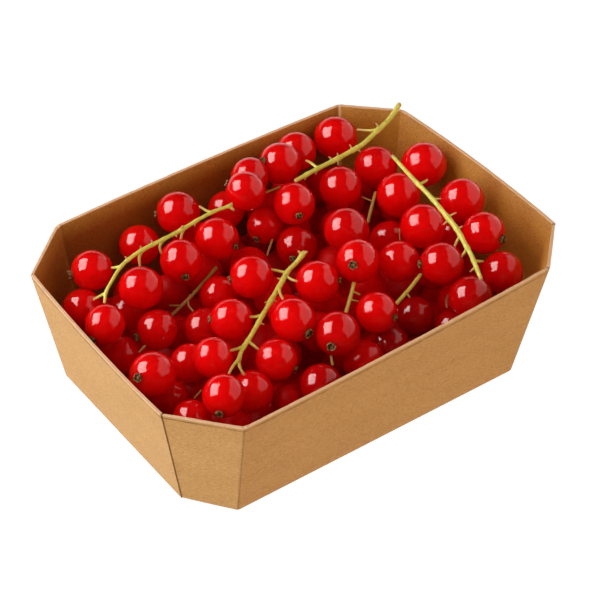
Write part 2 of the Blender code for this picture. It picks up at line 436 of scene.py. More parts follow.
# The eight corners, anticlockwise from the left end of the front left panel, at the rim and at the
# base. The tray was folded by hand, so no two corners are quite alike.
RIM_CORNERS = np.array(((-54.5, -26.6), (-42.6, -40.4), (43.2, -39.2), (55.0, -27.9),
                        (54.1, 28.8), (42.4, 40.1), (-40.2, 40.5), (-53.7, 29.0))) * MM
BASE_CORNERS = np.array(((-49.0, -23.8), (-40.9, -34.3), (37.1, -35.9), (48.9, -25.2),
                         (48.9, 24.8), (39.0, 34.5), (-39.0, 34.5), (-49.4, 25.0))) * MM
# How far the heap bulges each wall out, half way along its rim.
WALL_BULGE = np.array((0.0, 0.60, 0.0, 1.20, 0.0, 0.85, 0.0, 0.90)) * MM
BULGE_FLATNESS = 0.7


def corners_at(height, inset):
    """Corners of the outline at each height, with every wall moved inwards by the inset.

    Between base and rim they run straight. A moved corner lies where its two moved walls meet:
    along the sum of their inward normals, over one plus the cosine of the turn.
    """
    share = np.asarray(height)[:, None, None] / TRAY_HEIGHT
    corners = BASE_CORNERS + (RIM_CORNERS - BASE_CORNERS) * share
    along = unit(np.roll(corners, -1, axis=1) - corners)
    inward = np.stack((-along[..., 1], along[..., 0]), axis=-1)
    before = np.roll(inward, 1, axis=1)
    turn = (inward * before).sum(-1, keepdims=True)
    return corners + np.asarray(inset)[:, None, None] * (inward + before) / (1 + turn)


RIM_OUTLINE = corners_at([TRAY_HEIGHT], [0.0])[0]
print("rim corners in mm:", np.round(RIM_OUTLINE / MM, 1).tolist())

# %% [markdown]
# ### Columns of the tray
#
# A column is a place on the outline: a wall's number, a share of that wall's length, and two
# small moves, along the wall and inwards. The moves make what happens at the corners, so the
# outside and the inside of the card each have their own list of moves.

# %% Lay out the columns
SEAM_CORNERS = np.array((0, 3, 4, 7))
WALL_STEPS = (26, 110, 26, 84, 26, 110, 26, 84)
NEAR_CORNER = np.array((0.08, 0.18, 0.30, 0.45, 0.65, 0.95, 1.5)) * MM
CORNER_ZONE = 2.2 * MM
WALL_LENGTHS = np.linalg.norm(np.roll(RIM_OUTLINE, -1, axis=0) - RIM_OUTLINE, axis=1)

wall_parts = []
for wall, steps in enumerate(WALL_STEPS):
    zone = CORNER_ZONE / WALL_LENGTHS[wall]
    shares = np.concatenate((np.zeros(1 + len(NEAR_CORNER)), np.linspace(zone, 1 - zone, steps),
                             np.ones(1 + len(NEAR_CORNER))))
    extra = np.concatenate(([0.0], NEAR_CORNER, np.zeros(steps), -NEAR_CORNER[::-1], [0.0]))
    wall_parts.append((np.full(len(shares), wall), shares, extra))
COLUMN_WALL = np.concatenate([part[0] for part in wall_parts])
COLUMN_SHARE = np.concatenate([part[1] for part in wall_parts])
COLUMN_EXTRA = np.concatenate([part[2] for part in wall_parts])
print(len(COLUMN_WALL), "columns")

# Distance of every column from the start and the end of its wall, and from a seam and a fold there.
FAR = 1.0
from_start = COLUMN_SHARE * WALL_LENGTHS[COLUMN_WALL] + COLUMN_EXTRA
from_end = WALL_LENGTHS[COLUMN_WALL] - from_start
starts_at_seam = np.isin(COLUMN_WALL, SEAM_CORNERS)
ends_at_seam = np.isin((COLUMN_WALL + 1) % 8, SEAM_CORNERS)
is_panel = COLUMN_WALL % 2 == 0
seam_distance = np.minimum(np.where(starts_at_seam, from_start, FAR), np.where(ends_at_seam, from_end, FAR))
fold_distance = np.minimum(np.where(starts_at_seam, FAR, from_start), np.where(ends_at_seam, FAR, from_end))

SEAM_STEP = 0.16 * MM
SEAM_REACH = 6 * MM
SEAM_GROOVE = 0.32 * MM
SEAM_WIDTH = 0.16 * MM
FOLD_GROOVE = 0.12 * MM
FOLD_WIDTH = 0.26 * MM
FOLD_BEAD = 0.22 * MM
BEAD_WIDTH = 0.60 * MM
outer_inward = (np.where(is_panel, SEAM_STEP * np.exp(-seam_distance / SEAM_REACH), 0.0)
                + np.where(is_panel, SEAM_GROOVE * hump(seam_distance, SEAM_WIDTH), 0.0)
                + FOLD_GROOVE * hump(fold_distance, FOLD_WIDTH))
inner_inward = FOLD_BEAD * hump(fold_distance, BEAD_WIDTH)

# %% [markdown]
# ### Rows of the tray
#
# A row is a place on the card's profile: a height, an inset from the outer face, and a share of
# the way from the outer moves to the inner ones. The rim is cut, so its rows are close together:
# a fine split under the outer liner, a rough flat core and a small burr at the inner edge.

# %% Lay out the rows
fold_turn = np.linspace(0, math.pi / 2, 5)
outer_heights = np.linspace(BASE_FOLD, TRAY_HEIGHT - 1.5 * MM, 16)[1:]
inner_heights = np.linspace(TRAY_HEIGHT - 1.0 * MM, CARD + 0.5 * MM, 16)[:-1]
# Height below the rim's top in mm, inset as a share of the card, share of the inner side, raw edge.
RIM_PROFILE = np.array((
    (1.26, 0.00, 0.0, 0.0), (1.16, 0.04, 0.0, 0.0), (1.08, 0.09, 0.0, 0.0), (1.00, 0.04, 0.0, 0.0),
    (0.88, 0.00, 0.0, 0.0), (0.45, 0.00, 0.0, 0.0), (0.24, 0.02, 0.0, 0.1), (0.15, 0.04, 0.0, 0.4),
    (0.08, 0.06, 0.1, 0.9), (0.03, 0.12, 0.2, 1.0), (0.00, 0.26, 0.3, 1.0),
    (0.03, 0.46, 0.5, 1.0), (0.04, 0.66, 0.7, 1.0), (0.01, 0.80, 0.8, 1.0), (0.00, 0.90, 0.9, 1.0),
    (0.06, 0.97, 1.0, 1.0), (0.18, 1.00, 1.0, 0.4), (0.40, 1.00, 1.0, 0.0)))
row_height = np.concatenate(([0.0, 0.0, 0.0], BASE_FOLD * (1 - np.cos(fold_turn)), outer_heights,
                             TRAY_HEIGHT - RIM_PROFILE[:, 0] * MM, inner_heights,
                             [CARD + 0.1 * MM, CARD, CARD, CARD]))
row_inset = np.concatenate(([BASE_FOLD * 3, BASE_FOLD * 3, BASE_FOLD * 1.6],
                            BASE_FOLD * (1 - np.sin(fold_turn)), np.zeros(len(outer_heights)),
                            RIM_PROFILE[:, 1] * CARD, np.full(len(inner_heights), CARD),
                            [CARD + 0.05 * MM, CARD + 0.4 * MM, CARD + 2 * MM, CARD + 2 * MM]))
# The first and the last row are drawn in towards the middle, for the caps.
row_centre = np.concatenate(([0.4], np.ones(len(row_height) - 2), [0.4]))
outer_rows = 3 + len(fold_turn) + len(outer_heights)
inner_rows = len(inner_heights) + 4
row_inner = np.concatenate((np.zeros(outer_rows), RIM_PROFILE[:, 2], np.ones(inner_rows)))
row_raw = np.concatenate((np.zeros(outer_rows), RIM_PROFILE[:, 3], np.zeros(inner_rows)))
print(len(row_height), "rows")

# %% Build the tray
corners = corners_at(row_height, row_inset)
following = np.roll(corners, -1, axis=1)
lengths = np.linalg.norm(following - corners, axis=-1)
along = (following - corners) / lengths[..., None]
inward = np.stack((-along[..., 1], along[..., 0]), axis=-1)

# A wall that is only held at its ends bulges a little. The bulge is nought at base and corners.
column_arc = np.cumsum(WALL_LENGTHS)[COLUMN_WALL] - WALL_LENGTHS[COLUMN_WALL] + from_start
share_along = np.clip(from_start / WALL_LENGTHS[COLUMN_WALL], 0, 1)
bulge = WALL_BULGE[COLUMN_WALL] * np.sin(share_along * math.pi) ** BULGE_FLATNESS
bulge = bulge * (0.93 + 0.07 * wobble(column_arc, 34 * MM, 3))
risen = (row_height / TRAY_HEIGHT)[:, None]
moves = outer_inward * (1 - row_inner[:, None]) + inner_inward * row_inner[:, None] - bulge * risen

grid = (corners[:, COLUMN_WALL]
        + (COLUMN_SHARE * lengths[:, COLUMN_WALL] + COLUMN_EXTRA)[..., None] * along[:, COLUMN_WALL]
        + moves[..., None] * inward[:, COLUMN_WALL])
grid = grid * row_centre[:, None, None]

# The knife leaves the rim a little uneven: long waves, short fibres and a nick at each corner.
RIM_REACH = 1.2 * MM
WAVE_DEPTH = 0.05 * MM
FIBRE_DEPTH = 0.03 * MM
NICK_DEPTH = 0.15 * MM
at_rim = hump(np.minimum(TRAY_HEIGHT - row_height, 5 * MM), RIM_REACH)[:, None]
rough = row_raw[:, None] * (wobble(column_arc, 0.9 * MM, 5) + wobble(column_arc, 2.7 * MM, 6)
                            + 0.8 * wobble(column_arc[None] + row_inset[:, None] * 40, 0.7 * MM, 7))
nick = hump(np.minimum(from_start, from_end), 0.28 * MM)
lowered = (WAVE_DEPTH * (1 + wobble(column_arc, 21 * MM, 4)) * at_rim
           + FIBRE_DEPTH * (rough + 2.2 * row_raw[:, None]) + NICK_DEPTH * nick * row_raw[:, None])
heights = row_height[:, None] - lowered

tray_points = np.concatenate((grid, heights[..., None]), axis=-1).reshape(-1, 3)
rows, columns = len(row_height), len(COLUMN_WALL)
base_cap = np.arange(columns)[::-1][None]
floor_cap = (np.arange(columns) + (rows - 1) * columns)[None]
tray_mesh = new_mesh("punnet_tray", tray_points, [ring_faces(rows, columns), base_cap, floor_cap])
print("the tray's grid is", rows, "rows by", columns, "columns")

# %% [markdown]
# ### Shades of the tray
#
# The split under the outer liner, the seams, the folds and some nicks are dark: partly dark
# joints, partly painted shade in their grooves. A painted highlight runs along the inside of some
# folds, where the liner stands up. Inside, painted shade and painted red bounce light make the
# liner redder and darker below the rim, and painted shade darkens most the walls that get less light.

# %% Mark the tray's edges, folds and shaded walls
# How much painted shade darkens the liner inside each wall, anticlockwise from the front left panel.
WALL_SHADE = np.array((0.5, 0.8, 0.0, 0.0, 0.0, 1.0, 0.6, 0.8))
# How strong the painted highlight is along the inside of each corner, where the liner stands up.
FOLD_HIGHLIGHT = np.array((0.0, 0.4, 0.4, 0.0, 0.0, 1.0, 0.05, 0.0))
# Corners whose nicks in the cut rim are painted dark.
DARK_NICKS = (0, 2, 3)
SPLIT_DEPTH = 1.08 * MM
SPLIT_WIDTH = 0.17 * MM
INNER_FOLD = 0.80 * MM
SHADE_DEPTH = 5 * MM
split = hump(row_height[:, None] - (TRAY_HEIGHT - SPLIT_DEPTH), SPLIT_WIDTH) * (1 - row_inner[:, None])
split = split * np.clip(0.85 + 0.6 * wobble(column_arc, 1.7 * MM, 8), 0, 1)
outside = (1 - row_inner[:, None]) * (row_height[:, None] > 0.3 * MM)
nearest_corner = np.where(from_start < from_end, COLUMN_WALL, (COLUMN_WALL + 1) % 8)
# Dark joints plus painted shade: the split and the outer seams and folds, a painted shade line beside the
# inner folds, and dark nicks.
pressed_and_shade = (split + 0.62 * outside * hump(seam_distance, 0.30 * MM) * is_panel
           + 0.28 * outside * hump(fold_distance, FOLD_WIDTH)
           + 0.45 * row_inner[:, None] * hump(fold_distance - INNER_FOLD, 0.22 * MM) * ~is_panel
           + 0.7 * nick * row_raw[:, None] * np.isin(nearest_corner, DARK_NICKS))
set_attribute(tray_mesh, "raw_edge", np.broadcast_to(row_raw[:, None], heights.shape))
set_attribute(tray_mesh, "pressed_and_shade", np.clip(pressed_and_shade, 0, 1))
set_attribute(tray_mesh, "fold_highlight", FOLD_HIGHLIGHT[nearest_corner]
              * row_inner[:, None] * hump(fold_distance, 0.38 * MM))
# Painted shade and painted red bounce light inside the tray, growing with depth below the rim.
below_rim = np.clip((TRAY_HEIGHT - row_height) / SHADE_DEPTH, 0, 1) * row_inner
inside = (0.6 * row_inner + 0.4 * below_rim)[:, None]
set_attribute(tray_mesh, "inside", np.broadcast_to(inside, heights.shape))
set_attribute(tray_mesh, "shade", below_rim[:, None] * WALL_SHADE[COLUMN_WALL])
add_piece("punnet_tray", tray_mesh, card, ["punnet"])

# %% [markdown]
# ## Where the berries lie
#
# Each berry that shows is listed by the column and the row of its middle in the frame, its
# radius there and a first guess of its height. A berry that looks small is either small or far.
# A heap could also be dropped together at random, but then no berry would lie where it should.

# %% List the berries
TOP, MIDDLE, LOW = 28.0, 23.0, 18.0
# column, row, radius in the frame, height of the middle in mm
BERRIES = np.array((
    (92, 270.4, 20.8, TOP), (82, 308.3, 20, LOW + 4), (105, 324.3, 20.6, TOP), (121.5, 356, 20, LOW),
    (152.6, 374.4, 23.8, TOP), (139.7, 245, 20.6, MIDDLE), (140.9, 288.1, 22.5, TOP),
    (157.3, 330, 20.7, MIDDLE), (127, 311, 20, LOW), (178, 212.8, 22, TOP), (181.2, 260.8, 21.9, TOP),
    (217.2, 238.8, 21.8, TOP), (245.5, 191.2, 20.2, TOP + 1), (250, 176.5, 19.5, MIDDLE),
    (226.5, 209.5, 19, MIDDLE), (280.2, 163.3, 21.2, TOP + 1), (295.8, 152, 20.5, MIDDLE + 2),
    (335.6, 137.8, 22, TOP), (294.2, 203.8, 21.6, TOP), (340.5, 187.2, 21.5, TOP - 1),
    (376, 166.9, 21.5, TOP - 2), (398.6, 195.1, 22.8, TOP - 2), (424, 164.4, 23, TOP - 1),
    (462.3, 200.7, 22.8, TOP - 1), (483.8, 232.9, 21.8, TOP), (423, 226.2, 23.1, TOP),
    (453, 236, 20, LOW + 2), (441.8, 263.6, 22, TOP), (502.5, 272.3, 21.3, TOP - 4),
    (470.6, 297, 22.1, TOP - 3), (346.5, 230.6, 23.2, TOP), (357.8, 261, 22.4, TOP + 2),
    (398.8, 261, 21, TOP - 2), (389, 241, 20.5, LOW), (251.6, 276.9, 22, TOP),
    (317.4, 281.9, 22, TOP), (231.3, 319.4, 21.5, TOP), (293.3, 320, 23, TOP + 1),
    (213, 357.5, 20.8, TOP + 1), (276.6, 359.5, 21.3, TOP - 1), (223.8, 395.6, 22.2, TOP + 1),
    (252, 391.3, 21.8, MIDDLE - 1), (337.5, 333.7, 23.1, TOP - 1), (376.9, 312.2, 20.9, TOP - 1),
    (415, 315.5, 19.5, LOW + 1), (321, 384.5, 21.4, MIDDLE), (363.5, 360, 21, LOW + 1),
    (390, 345, 20, LOW), (452, 327, 18, LOW), (368, 287, 18, LOW), (265.5, 225.5, 19, LOW + 5),
    (296.8, 246.5, 21, LOW + 3), (204.5, 328.2, 20.5, MIDDLE - 1), (190, 363, 20, MIDDLE - 2),
    (192, 419, 20, MIDDLE), (236, 428, 18, LOW), (218.5, 295, 19.5, MIDDLE - 2), (170, 398, 19, LOW - 1),
    (290, 402, 19, LOW), (170, 292, 19, LOW), (190, 236, 18, LOW + 2)))

# %% Lines of sight and inner walls
def sight(column, row):
    """The ray through a place in the frame: one unit forwards, plus its share of right and up."""
    rightward = (np.asarray(column) - FRAME_WIDTH / 2) / FOCAL_PIXELS
    upward = (FRAME_WIDTH / 2 - np.asarray(row)) / FOCAL_PIXELS
    return -BACK + rightward[..., None] * RIGHT + upward[..., None] * UP


def depth_at_height(rays, height):
    return (height - EYE[2]) / rays[..., 2]


def in_frame(points):
    """Column, row and depth at which points appear."""
    away = np.asarray(points) - EYE
    depth = -(away @ BACK)
    return np.stack((FRAME_WIDTH / 2 + FOCAL_PIXELS * (away @ RIGHT) / depth,
                     FRAME_WIDTH / 2 - FOCAL_PIXELS * (away @ UP) / depth, depth), axis=-1)


def inner_walls():
    """Normal and distance of each wall's inner plane, through two rim corners and one of the base."""
    rim = corners_at([TRAY_HEIGHT], [CARD])[0]
    base = corners_at([CARD], [CARD])[0]
    rim3 = np.column_stack((rim, np.full(8, TRAY_HEIGHT)))
    base3 = np.column_stack((base, np.full(8, CARD)))
    normal = unit(np.cross(np.roll(rim3, -1, axis=0) - rim3, rim3 - base3))
    normal *= np.sign((normal * rim3).sum(-1, keepdims=True))
    return normal, (normal * rim3).sum(-1)


WALL_NORMALS, WALL_REACH = inner_walls()
print("reach of the inner walls in mm:", np.round(WALL_REACH / MM, 1).tolist())

# %% [markdown]
# ### Settling the berries
#
# A physics run would move berries about and take long. Here a berry may only slide along its own
# line of sight, so what shows stays where it is. First the depths are found at which a berry
# clears the walls, the floor and the top. Then all pairs that overlap are pushed apart together,
# as one table of distances, over and over.

# %% Settle the berries
rays = sight(BERRIES[:, 0], BERRIES[:, 1])
WALL_GIVE = 0.2 * MM
FLOOR_ROOM = 1.0 * MM
LONGEST = 1.03
HEAP_TOP = cad_box[1][2] - 0.6 * MM
HEIGHT_TRIALS = np.linspace(1.0, 60.0, 1181) * MM
trial_depth = depth_at_height(rays[:, None], HEIGHT_TRIALS[None])
trial_middle = EYE + rays[:, None] * trial_depth[..., None]
trial_radius = BERRIES[:, 2, None] * trial_depth / FOCAL_PIXELS
clear = (trial_middle @ WALL_NORMALS.T + trial_radius[..., None] <= WALL_REACH + WALL_GIVE).all(-1)
clear &= (HEIGHT_TRIALS > trial_radius + FLOOR_ROOM) & (HEIGHT_TRIALS + LONGEST * trial_radius < HEAP_TOP)
nearest = np.where(clear, trial_depth, np.inf).min(axis=1)
farthest = np.where(clear, trial_depth, -np.inf).max(axis=1)
depth = np.clip(depth_at_height(rays, BERRIES[:, 3] * MM), nearest, farthest)
wished = depth.copy()

# Two berries that would overlap are pushed apart along their own lines of sight, a little each time.
CROWDING = 0.97
PUSH_SHARE = 0.25
LONGEST_PUSH = 1 * MM
RETURN = 0.02
PUSHES = 600
for _ in range(PUSHES):
    middles = EYE + rays * depth[:, None]
    radii = BERRIES[:, 2] * depth / FOCAL_PIXELS
    apart = np.linalg.norm(middles[:, None] - middles[None], axis=-1)
    step = depth[:, None] - depth[None]
    wanted = CROWDING * (radii[:, None] + radii[None])
    needed = np.sqrt(np.maximum(wanted**2 - np.maximum(apart**2 - step**2, 0), 0))
    short = np.where((apart < wanted) & ~np.eye(len(depth), dtype=bool), needed - np.abs(step), 0.0)
    push = (PUSH_SHARE * short * np.sign(step)).sum(axis=1)
    push = np.clip(push, -LONGEST_PUSH, LONGEST_PUSH) + RETURN * (wished - depth)
    depth = np.clip(depth + push, nearest, farthest)
middles = EYE + rays * depth[:, None]
radii = BERRIES[:, 2] * depth / FOCAL_PIXELS
print("berry radius in mm:", np.round([radii.min() / MM, radii.mean() / MM, radii.max() / MM], 2),
      "highest top in mm:", round(float((middles[:, 2] + radii).max() / MM), 2))

# %% [markdown]
# ### Berries that hold the others up
#
# Under and around the berries that show lie many more. Their places are drawn from a loose
# lattice. One is kept if it clears the walls and all berries kept so far, if it hides nothing
# that should show, and if little of it shows itself: the cut rim hides what is low at the front,
# and a berry in front hides what is behind.

# %% Draw places for them
FILL_RADIUS = 4.75 * MM
FILL_RADIUS_SPREAD = 0.4 * MM
FILL_PITCH = 8.9 * MM
FILL_SPREAD = 1.3 * MM
FILL_TOP = 31.0 * MM
CORE_TOP = 11.0 * MM
# How far a layer rises as a share of the pitch, and how often each place is drawn.
LAYER_RISE = 0.72
DRAWS = 3
draw = np.random.default_rng(21)
span = np.arange(-7, 8) * FILL_PITCH
layers = np.arange(9)
layer_height = layers * LAYER_RISE * FILL_PITCH + CORE_TOP
spots = np.stack(np.meshgrid(layer_height, span, span, indexing="ij"), axis=-1)[..., ::-1]
# Every second layer is moved by half a pitch.
moved = (layers % 2)[:, None, None, None] * FILL_PITCH * 0.5 * np.array((1, 1, 0))
spots = (spots + moved).reshape(-1, 3)
spots = np.concatenate([spots + draw.uniform(-1, 1, spots.shape) * FILL_SPREAD for _ in range(DRAWS)])
spot_radii = FILL_RADIUS + draw.uniform(-1, 1, len(spots)) * FILL_RADIUS_SPREAD
room = (spots @ WALL_NORMALS.T + spot_radii[:, None] <= WALL_REACH).all(-1) & (spots[:, 2] < FILL_TOP)
spots, spot_radii = spots[room], spot_radii[room]
print(len(spots), "places between the walls")

# %% Keep the places where a berry may lie
# A place in the frame where bare card shows beside the heap.
BARE_PLACE = np.array((117.0, 264.0))
# The most of a berry that may show, and the most of a low one.
MOST_SHOWN, MOST_SHOWN_LOW, LOW_MIDDLE = 0.30, 0.55, 17 * MM
FILL_CROWDING = 0.95
seen = in_frame(spots)
seen_radius = spot_radii * FOCAL_PIXELS / seen[:, 2]
gap = np.hypot(seen[:, None, 0] - BERRIES[None, :, 0], seen[:, None, 1] - BERRIES[None, :, 1])
in_front = gap < seen_radius[:, None] + BERRIES[None, :, 2] - 1.0
in_front &= seen[:, 2, None] < depth[None] + 1 * MM

# Places on each disc are tested: is this place behind a listed berry, or below the near rim?
turns = np.linspace(0, 2 * math.pi, 16, endpoint=False)
disc = np.concatenate([r * np.stack((np.cos(turns), np.sin(turns)), axis=-1) for r in (0.55, 0.92)])
samples = seen[:, None, :2] + disc[None] * seen_radius[:, None, None]
covered = (np.linalg.norm(samples[:, :, None] - BERRIES[None, None, :, :2], axis=-1)
           < BERRIES[None, None, :, 2]).any(-1)
sample_rays = sight(samples[..., 0], samples[..., 1])
over_rim = EYE + sample_rays * depth_at_height(sample_rays, TRAY_HEIGHT)[..., None]
rim_ends = np.roll(RIM_OUTLINE, -1, axis=0)
rim_inward = np.stack((-(rim_ends - RIM_OUTLINE)[:, 1], (rim_ends - RIM_OUTLINE)[:, 0]), axis=-1)
inside_rim = (((over_rim[..., None, :2] - RIM_OUTLINE) * rim_inward).sum(-1) > 0).all(-1)
behind_wall = ~inside_rim & (spots[:, 2:] < TRAY_HEIGHT)
shown = (~(covered | behind_wall)).mean(axis=1)
hidden = (shown < MOST_SHOWN) | ((spots[:, 2] < LOW_MIDDLE) & (shown < MOST_SHOWN_LOW))
bare = np.linalg.norm(seen[:, :2] - BARE_PLACE, axis=1) < seen_radius
allowed = hidden & ~bare & ~in_front.any(axis=1)
kept_middles, kept_radii = list(middles), list(radii)
order = np.argsort(-spots[:, 2])
for number in order[allowed[order]]:
    away = np.linalg.norm(np.array(kept_middles) - spots[number], axis=1)
    if (away > FILL_CROWDING * (np.array(kept_radii) + spot_radii[number])).all():
        kept_middles.append(spots[number])
        kept_radii.append(spot_radii[number])
heap_middles, heap_radii = np.array(kept_middles), np.array(kept_radii)
print(len(BERRIES), "berries in view and", len(heap_middles) - len(BERRIES), "that fill the heap")

# %% [markdown]
# ## The berries
#
# A redcurrant is nearly a ball. It is a touch longer from its stem to its dried flower end, with
# a small dimple at the stem and a shallow pit at the flower. The skin is thin and clear over red
# juice, so light goes in, spreads and comes out deeper red: that is subsurface scattering, under
# a very smooth gloss. Faint pale veins run from end to end.

# %% Make the berry finish
VEINS = 7.0


def skin_finish(name, roughness, gloss):
    """The same red skin with its own gloss, since berries deep in the heap are damp and dull."""
    material, tree, shader = new_finish(
        name, roughness, Subsurface_Weight=1.0, Subsurface_Scale=0.012,
        Subsurface_Radius=(1.0, 0.08, 0.05), IOR=1.42, Specular_IOR_Level=gloss)
    # Dark to full red: a random tone, plus painted shade that darkens the berries lying low.
    tone_and_shade = attribute(tree, "tone_and_shade")
    colour = mix_colour(tree, tone_and_shade, linear(168, 2, 3), linear(235, 5, 5))
    cloud = mottle(tree, object_place(tree), 420.0, 2.0, 0.30, 0.75)
    colour = mix_colour(tree, cloud, tinted(tree, colour, (0.86, 0.6, 0.6)), colour)
    longitude = add_node(tree, "ShaderNodeMath", {1: VEINS}, operation="MULTIPLY")
    tree.links.new(attribute(tree, "longitude"), longitude.inputs[0])
    wave = add_node(tree, "ShaderNodeMath", operation="SINE")
    tree.links.new(longitude.outputs[0], wave.inputs[0])
    vein = add_node(tree, "ShaderNodeMapRange", {"From Min": 0.90, "From Max": 1.0, "To Max": 0.10})
    tree.links.new(wave.outputs[0], vein.inputs["Value"])
    colour = mix_colour(tree, vein.outputs["Result"], colour, linear(235, 60, 50))
    colour = painted(tree, colour, "flower_end", linear(120, 16, 8))
    tree.links.new(colour, shader.inputs["Base Color"])
    return material


berry_skin = skin_finish("redcurrant_skin", 0.09, 0.5)
deep_skin = skin_finish("redcurrant_skin_deep", 0.45, 0.05)
print("berry finish is ready")

# %% [markdown]
# ### Which way each berry points
#
# Where the dried flower shows, its place on the berry gives the axis. Otherwise the flower lies
# just out of sight, behind the edge of the berry, at a turn drawn at random.

# %% Aim the berries
# berry number, column and row of its dried flower
FLOWERS = np.array((
    (0, 69.8, 275.6), (2, 93.8, 339.4), (4, 139.8, 376.9), (7, 137.9, 337.3), (9, 154.4, 214.4),
    (10, 186.3, 276.9), (11, 235.6, 246.3), (12, 225.9, 183), (15, 263.5, 162.5), (18, 299.1, 216.3),
    (24, 501.1, 239.3), (27, 419, 264.3), (31, 352.5, 265.3), (34, 230, 279.4), (35, 341.6, 280.6),
    (36, 206.9, 319.4), (37, 308.5, 332.5), (39, 298.1, 370), (40, 220, 412.5), (42, 331, 346),
    (43, 394.4, 316.9), (50, 256.9, 239.4), (51, 293, 258.8)))
HIDDEN_TURN = -0.72
EDGE_MOST = 0.985
turn = draw.uniform(0, 2 * math.pi, len(heap_middles))
flat = math.sqrt(1 - HIDDEN_TURN**2)
flower_way = flat * (np.cos(turn)[:, None] * RIGHT + np.sin(turn)[:, None] * UP) + HIDDEN_TURN * BACK
which = FLOWERS[:, 0].astype(int)
offset = (FLOWERS[:, 1:] - BERRIES[which, :2]) / BERRIES[which, 2:3]
offset /= np.maximum(np.linalg.norm(offset, axis=1, keepdims=True) / EDGE_MOST, 1.0)
facing = np.sqrt(1 - (offset**2).sum(axis=1))
flower_way[which] = offset[:, :1] * RIGHT - offset[:, 1:] * UP + facing[:, None] * BACK
stem_way = -unit(flower_way)


def frames_for(axes):
    """Two directions across each axis, so that first, second and axis are a right-handed set."""
    helper = np.where(np.abs(axes[:, 2:]) < 0.9, (0.0, 0.0, 1.0), (1.0, 0.0, 0.0))
    first = unit(np.cross(helper, axes))
    return first, np.cross(axes, first)

# %% Say which berries are darker
# Berries painted darker than the rest, by how much, and some painted darker still.
DARKER_BERRIES = [4, 7, 9, 12, 13, 14, 17, 19, 20, 25, 27, 29, 30, 34, 37, 38, 39, 43, 44, 45, 48, 54, 55]
DARKER_BY = 0.28
DARKEST_BERRIES = [9, 12, 13, 27, 28, 29, 30, 42, 44, 45, 47, 48, 51, 52, 58, 59]
DARKEST_BY = 0.55
# Painted shade: the lower a berry lies, the darker it is painted. Height in mm at which this
# starts from dark, and over which it grows to full red.
SHADE_FOOT, SHADE_RISE = 7, 16
# Berries so deep between others that they barely shine.
DULL = (49, 55, 58, 59, 60)
print(len(DARKER_BERRIES), "berries are riper,", len(DARKEST_BERRIES), "riper still and", len(DULL), "deep and dull")

# %% Build the berries
def berry_points(centres, radii, axes, rows, columns):
    """Points of each berry, pole to pole, with their latitude and longitude.

    Distance from the middle is the radius times one, plus a lengthening by the square of the sine
    of the latitude, less a bell-shaped dimple at each pole, plus a slight oval all round.
    """
    latitude = np.linspace(-math.pi / 2, math.pi / 2, rows + 2)[1:-1]
    longitude = np.arange(columns) * 2 * math.pi / columns
    lat = np.concatenate(([-math.pi / 2], np.repeat(latitude, columns), [math.pi / 2]))
    lon = np.concatenate(([0.0], np.tile(longitude, rows), [0.0]))
    phase = np.arange(len(centres))[:, None] * 2.4
    stretch = (0.985 + 0.035 * np.sin(lat) ** 2 - 0.012 * hump(math.pi / 2 - lat, 0.20)
               - 0.040 * hump(math.pi / 2 + lat, 0.26))
    stretch = stretch + 0.008 * np.sin(2 * lon + phase) * np.cos(lat) ** 2
    first, second = frames_for(axes)
    across = np.cos(lat) * np.cos(lon)
    around = np.cos(lat) * np.sin(lon)
    shape = (across[:, None] * first[:, None] + around[:, None] * second[:, None]
             + np.sin(lat)[:, None] * axes[:, None])
    return centres[:, None] + radii[:, None, None] * stretch[..., None] * shape, lat, lon


def add_berries(name, chosen, rows, columns, skin, nodes=()):
    """One piece that holds all the chosen berries, each with its own tone."""
    middles, radii, axes = heap_middles[chosen], heap_radii[chosen], stem_way[chosen]
    points, lat, lon = berry_points(middles, radii, axes, rows, columns)
    copies, each = points.shape[:2]
    faces = copied_faces(closed_faces(rows, columns), each, copies)
    mesh = new_mesh(name, points.reshape(-1, 3), faces)
    tone_shift = np.random.default_rng(5).uniform(-0.12, 0.12, len(heap_middles))
    tone_shift[DARKER_BERRIES] -= DARKER_BY
    tone_shift[DARKEST_BERRIES] -= DARKEST_BY
    # Painted shade by height, plus the random and listed shifts of tone.
    tones = np.clip((heap_middles[:, 2] / MM - SHADE_FOOT) / SHADE_RISE + tone_shift, 0, 1)[chosen]
    set_attribute(mesh, "tone_and_shade", np.repeat(tones, each))
    set_attribute(mesh, "longitude", np.tile(lon, copies))
    set_attribute(mesh, "flower_end", np.tile(hump(lat + math.pi / 2, 0.20), copies))
    add_piece(name, mesh, skin, nodes)


numbers = np.arange(len(heap_middles))
listed = numbers < len(BERRIES)
shiny = listed & ~np.isin(numbers, DULL)
add_berries("currants", numbers[shiny], 14, 26, berry_skin, ["currant_heap"])
add_berries("currants_below", numbers[~shiny], 10, 18, deep_skin)

# %% [markdown]
# ### The core of the heap
#
# Little shows below the second layer, so one solid fills the tray up to there. Its top is red and
# has lumps of a berry's size, for the gaps that let the eye through. A lump's height is the
# square root of the product of two cosines, one for each level direction.

